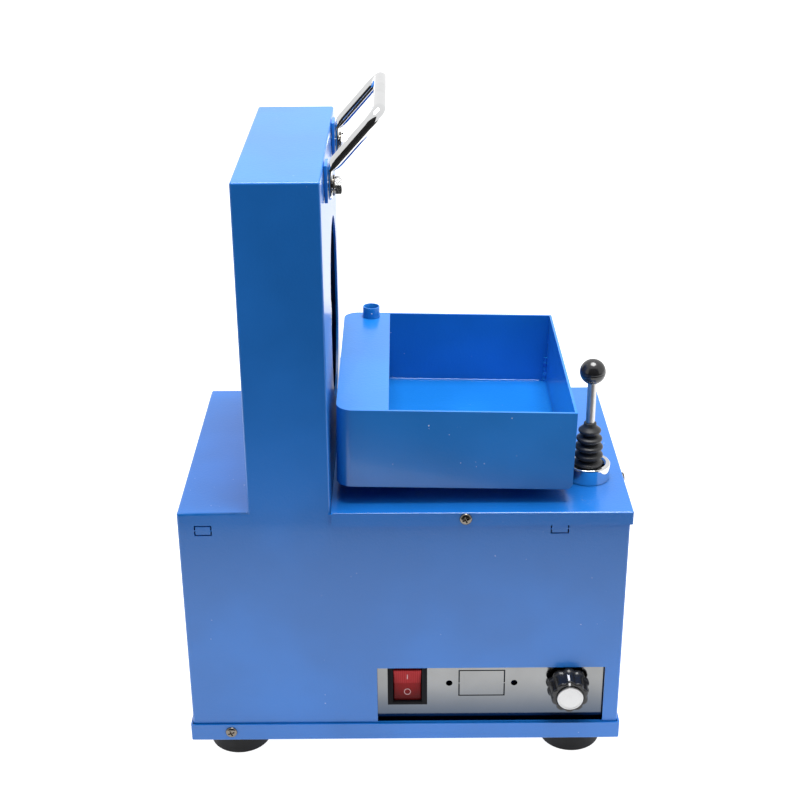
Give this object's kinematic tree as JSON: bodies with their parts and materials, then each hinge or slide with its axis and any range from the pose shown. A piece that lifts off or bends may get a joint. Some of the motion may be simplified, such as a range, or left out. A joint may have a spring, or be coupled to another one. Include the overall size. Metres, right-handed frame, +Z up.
{
  "type": "cabbing machine",
  "caption": "Bench cabbing machine: sheet-metal body with a tall belt tower, lap disc behind a window, lift-out water tray, joystick, knob, rocker switch and handle.",
  "frame": {"origin": "middle of the bounding box on the table, under the feet", "axes": "+Z up, -Y to the operator and the control panel, +X towards the joystick side, the tower is on the -X side"},
  "size_m": [0.2814, 0.1988, 0.4186],
  "materials": {
    "body_paint": "gloss blue powder coat",
    "tray_paint": "gloss blue powder coat, lighter from reflected light",
    "satin_steel": "satin stainless sheet",
    "chrome": "polished chrome plate",
    "zinc_steel": "zinc plated fasteners and plain steel",
    "cast_iron": "dark cast and pressed steel",
    "aluminium": "turned and extruded aluminium",
    "black_plastic": "moulded black plastic",
    "black_gloss": "polished black phenolic ball",
    "red_rocker": "translucent red plastic with white I and O",
    "rubber": "black moulded rubber",
    "lap_face": "black abrasive lap pad",
    "circuit_board": "green circuit board"
  },
  "bodies": {
    "frame": {"casing": "body_paint", "base_pan": "body_paint", "deck_cover": "body_paint", "tower_cover": "body_paint", "foot_front_left": "rubber", "foot_front_right": "rubber", "foot_rear_left": "rubber", "foot_rear_right": "rubber", "pan_screw_front": "zinc_steel", "pan_screw_back": "zinc_steel", "pan_screw_left": "zinc_steel", "pan_screw_right": "zinc_steel", "deck_screw_front": "zinc_steel", "deck_screw_right": "zinc_steel", "cover_screw_upper": "zinc_steel", "cover_screw_lower": "zinc_steel", "control_panel": "satin_steel", "switch_housing": "black_plastic", "potentiometer": "aluminium", "joystick_collar": "chrome", "joystick_housing": "black_plastic", "joystick_pivot_pin": "zinc_steel", "joystick_bellows": "rubber", "tray_bumper_front_left": "rubber", "tray_bumper_front_right": "rubber", "tray_bumper_rear_left": "rubber", "tray_bumper_rear_right": "rubber", "handle": "chrome", "handle_tab_front": "body_paint", "handle_tab_rear": "body_paint", "handle_washer_front": "chrome", "handle_washer_rear": "chrome", "handle_bolt_front": "chrome", "handle_bolt_rear": "chrome", "bearing_housing": "cast_iron", "bearing_outer": "zinc_steel", "bearing_inner": "zinc_steel", "drive_belt": "rubber", "motor_housing": "cast_iron", "motor_end_bell": "aluminium", "motor_bracket": "cast_iron", "controller_board": "circuit_board", "heat_sink": "aluminium", "mains_inlet": "black_plastic"},
    "spindle": {"spindle_shaft": "zinc_steel", "spindle_pulley": "aluminium", "backing_plate": "aluminium", "lap_disc": "lap_face", "spindle_nut": "zinc_steel"},
    "motor_rotor_body": {"motor_rotor": "zinc_steel", "motor_shaft": "zinc_steel", "motor_pulley": "aluminium"},
    "rocker": {"switch_rocker": "red_rocker"},
    "knob": {"speed_knob": "black_plastic", "knob_cap": "aluminium", "potentiometer_shaft": "aluminium"},
    "joystick": {"joystick_lever": "chrome", "joystick_ball": "black_gloss"},
    "tray": {"water_tray": "tray_paint", "tray_spigot": "tray_paint"}
  },
  "joints": [
    {"name": "spindle_spin", "type": "hinge", "parent": "frame", "child": "spindle", "pos_m": [-0.062, 0.0266, 0.266], "axis": [1, 0, 0], "continuous": true},
    {"name": "motor_spin", "type": "hinge", "parent": "frame", "child": "motor_rotor_body", "pos_m": [-0.062, 0.0266, 0.092], "axis": [1, 0, 0], "continuous": true},
    {"name": "power_rocker", "type": "hinge", "parent": "frame", "child": "rocker", "pos_m": [0.0016, -0.0754, 0.054], "axis": [1, 0, 0], "range_deg": [-12, 0]},
    {"name": "speed_turn", "type": "hinge", "parent": "frame", "child": "knob", "pos_m": [0.1045, -0.0854, 0.054], "axis": [0, -1, 0], "range_deg": [-150, 150]},
    {"name": "joystick_tilt", "type": "hinge", "parent": "frame", "child": "joystick", "pos_m": [0.1162, -0.0404, 0.172], "axis": [1, 0, 0], "range_deg": [-15, 15], "stiffness_Nm_per_rad": 1.2, "deforming": ["joystick_bellows"]},
    {"name": "tray_lift", "type": "slide", "parent": "frame", "child": "tray", "axis": [0, 0, 1], "range_m": [0, 0.08]}
  ],
  "couplings": [
    {"joint": "motor_spin", "follows": "spindle_spin", "ratio": 2}
  ]
}
